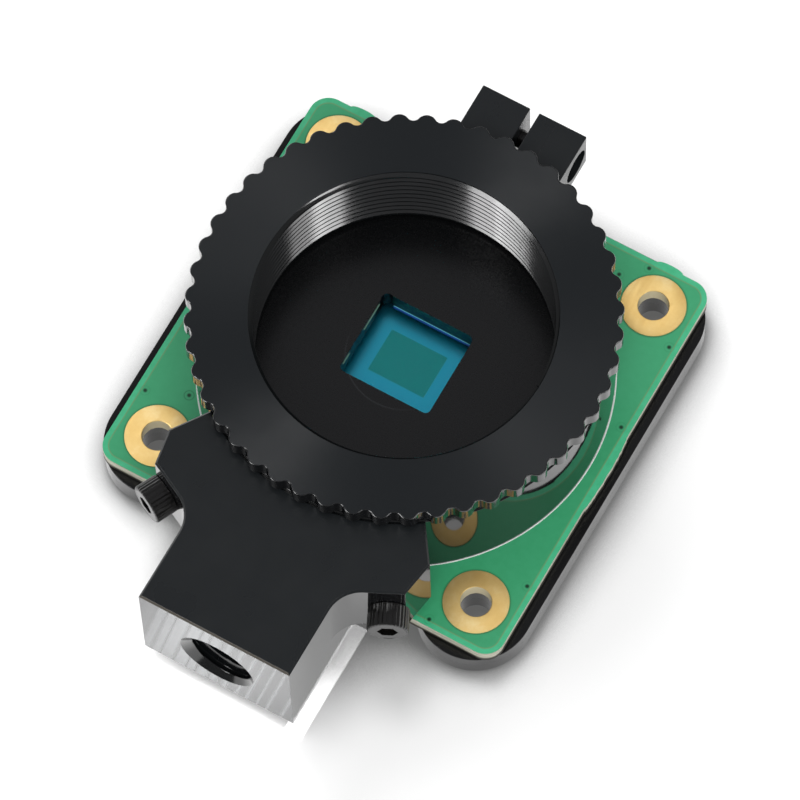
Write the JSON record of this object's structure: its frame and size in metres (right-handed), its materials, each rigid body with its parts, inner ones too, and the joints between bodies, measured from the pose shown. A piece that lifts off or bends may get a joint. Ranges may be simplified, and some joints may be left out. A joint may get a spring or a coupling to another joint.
{
  "type": "board camera module with tripod mount",
  "caption": "Board camera module: scalloped focus ring in a clamped black lens housing over an image sensor, on a green circuit board with a back cover and a T-shaped tripod mount.",
  "frame": {"origin": "on the optical axis, at the underside of the back cover; the centre of the 30 mm square pattern of mounting holes", "axes": "+Z along the optical axis towards the lens, -Y towards the tripod mount, +Y towards the clamp ears"},
  "size_m": [0.0392, 0.0527, 0.0159],
  "materials": {
    "ring_black": "satin black anodised",
    "housing_black": "polished black anodised",
    "mount_black": "semi-gloss black anodised",
    "screw_black": "black oxide",
    "board_green": "green solder mask",
    "gold": "gold plated",
    "cover_black": "black anodised",
    "ceramic": "dark ceramic",
    "silicon": "polished silicon",
    "pixel_teal": "iridescent",
    "clear_glass": "clear",
    "blue_glass": "tinted",
    "foam": "foam",
    "connector_ivory": "moulded",
    "tin": "tin plated",
    "latch_black": "moulded",
    "chip_black": "moulded",
    "capacitor_brown": "ceramic"
  },
  "bodies": {
    "module": {"lens_housing": "housing_black", "lock_screw": "screw_black", "tripod_mount": "mount_black", "tripod_screws": "screw_black", "base_screws": "screw_black", "circuit_board": "board_green", "hole_lands": "gold", "back_cover": "cover_black", "sensor_package": "ceramic", "sensor_die": "silicon", "pixel_array": "pixel_teal", "sensor_glass": "clear_glass", "filter_glass": "blue_glass", "light_seal": "foam", "ribbon_connector": "connector_ivory", "connector_contacts": "gold", "connector_anchors": "tin", "board_chips": "chip_black", "oscillator": "tin", "capacitors": "capacitor_brown", "capacitor_ends": "tin"},
    "ring": {"focus_ring": "ring_black"},
    "latch": {"connector_latch": "latch_black"}
  },
  "joints": [
    {"name": "focus_turn", "type": "hinge", "parent": "module", "child": "ring", "pos_m": [0, 0, 0.0118], "axis": [0, 0, 1], "range_deg": [-320, 360]},
    {"name": "latch_slide", "type": "slide", "parent": "module", "child": "latch", "axis": [0, -1, 0], "range_m": [0, 0.0012]}
  ]
}
